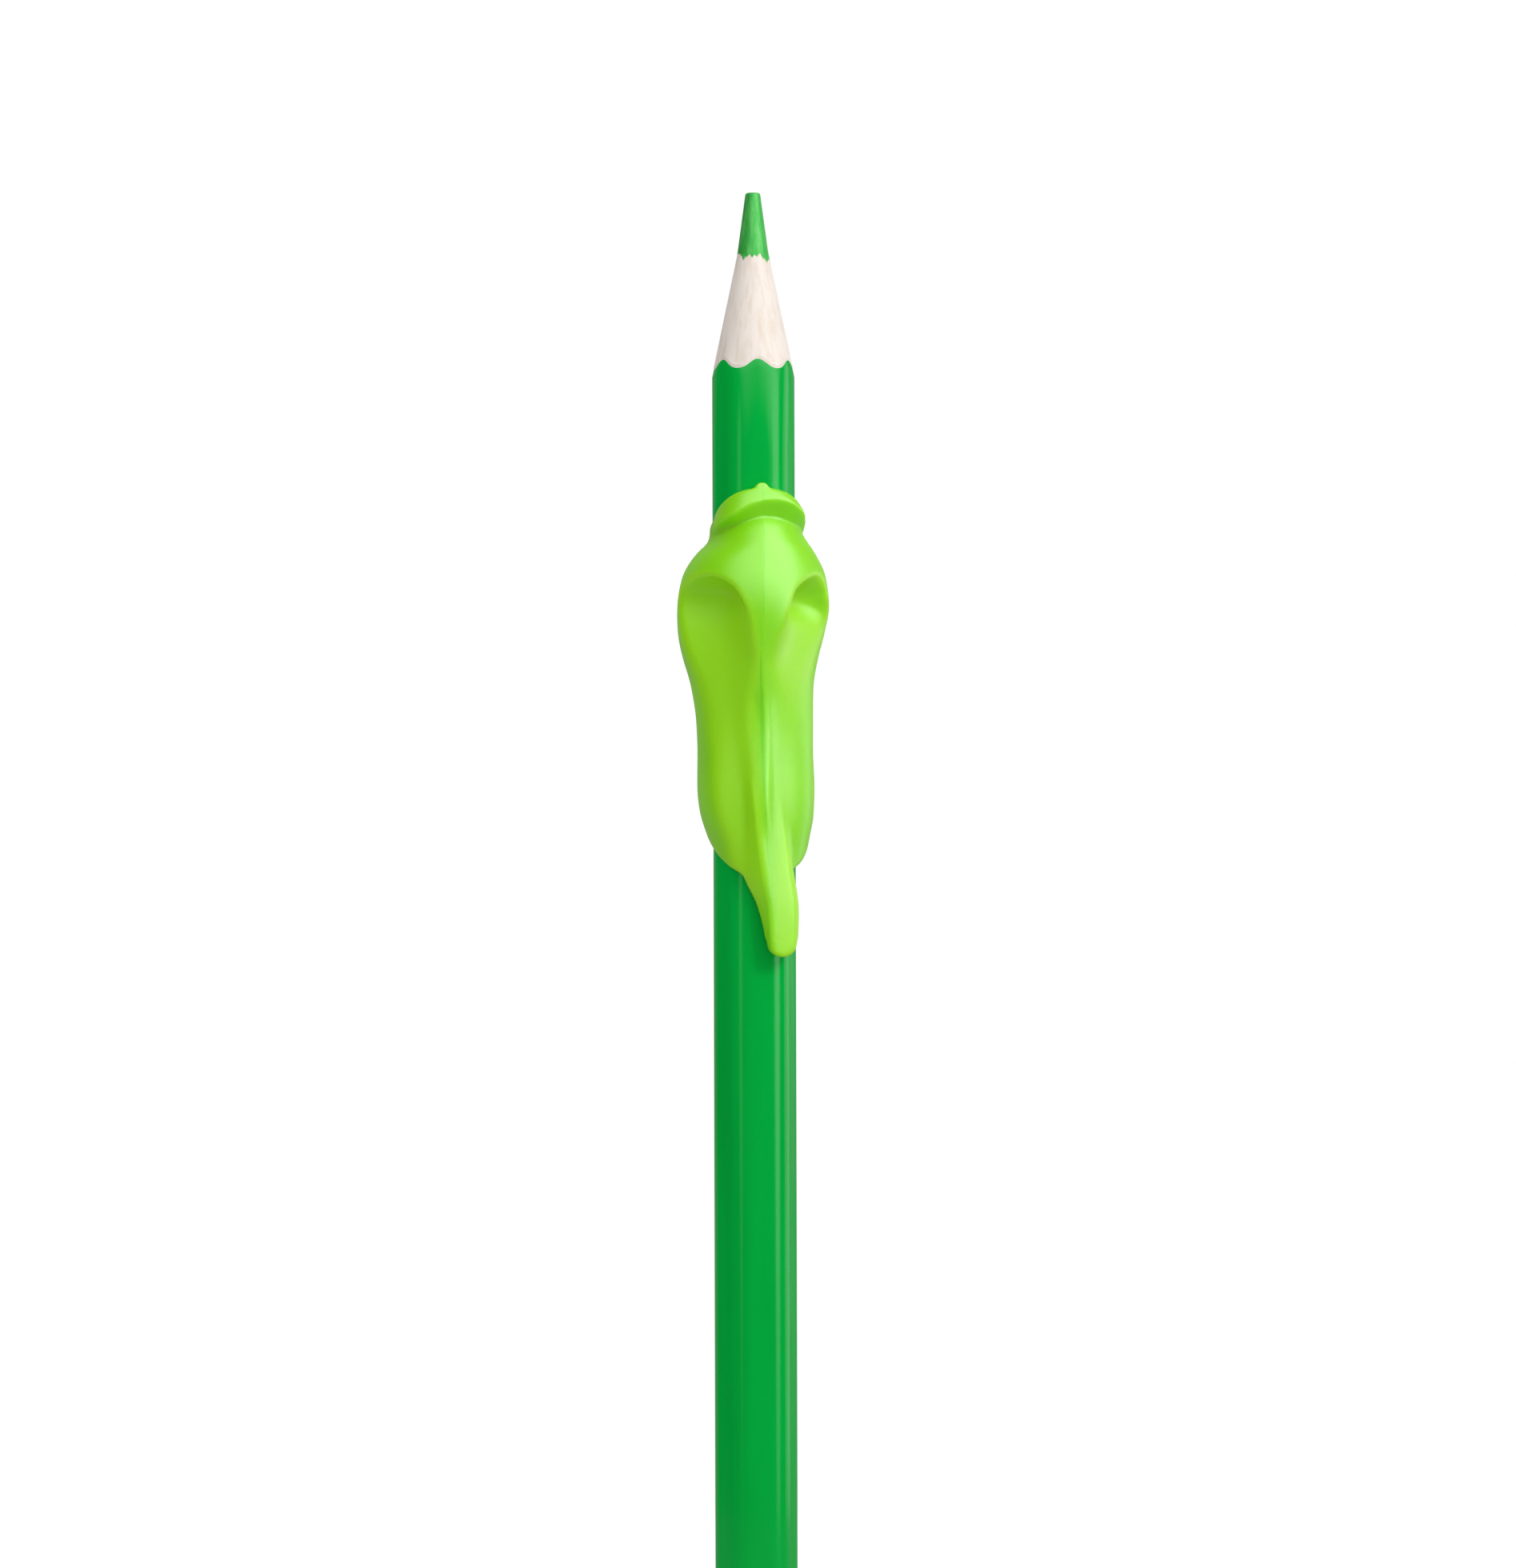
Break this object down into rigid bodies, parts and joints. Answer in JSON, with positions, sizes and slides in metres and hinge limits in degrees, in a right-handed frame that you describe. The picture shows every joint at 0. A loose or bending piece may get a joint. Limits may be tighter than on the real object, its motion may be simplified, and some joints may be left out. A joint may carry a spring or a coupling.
{
  "type": "pencil grip on a coloured pencil",
  "caption": "Soft moulded finger grip with a rolled lip, finger hollows and a tail tongue, sliding on a sharpened hexagonal coloured pencil.",
  "frame": {"origin": "centre of the pencil's flat rear end", "axes": "+Z along the pencil towards its point, -Y the way the grip's back faces, with a flat of the hexagon"},
  "size_m": [0.0136, 0.0142, 0.175],
  "materials": {
    "grip_rubber": "satin",
    "coloured_lead": "waxy",
    "cedar": "raw",
    "green_lacquer": "gloss"
  },
  "bodies": {
    "pencil": {"lead_core": "coloured_lead", "upper_slat": "cedar", "lower_slat": "cedar", "lacquer_coat": "green_lacquer"},
    "grip": {"grip": "grip_rubber"}
  },
  "joints": [
    {"name": "grip_slide", "type": "slide", "parent": "pencil", "child": "grip", "axis": [0, 0, 1], "range_m": [-0.106, 0.07]}
  ]
}
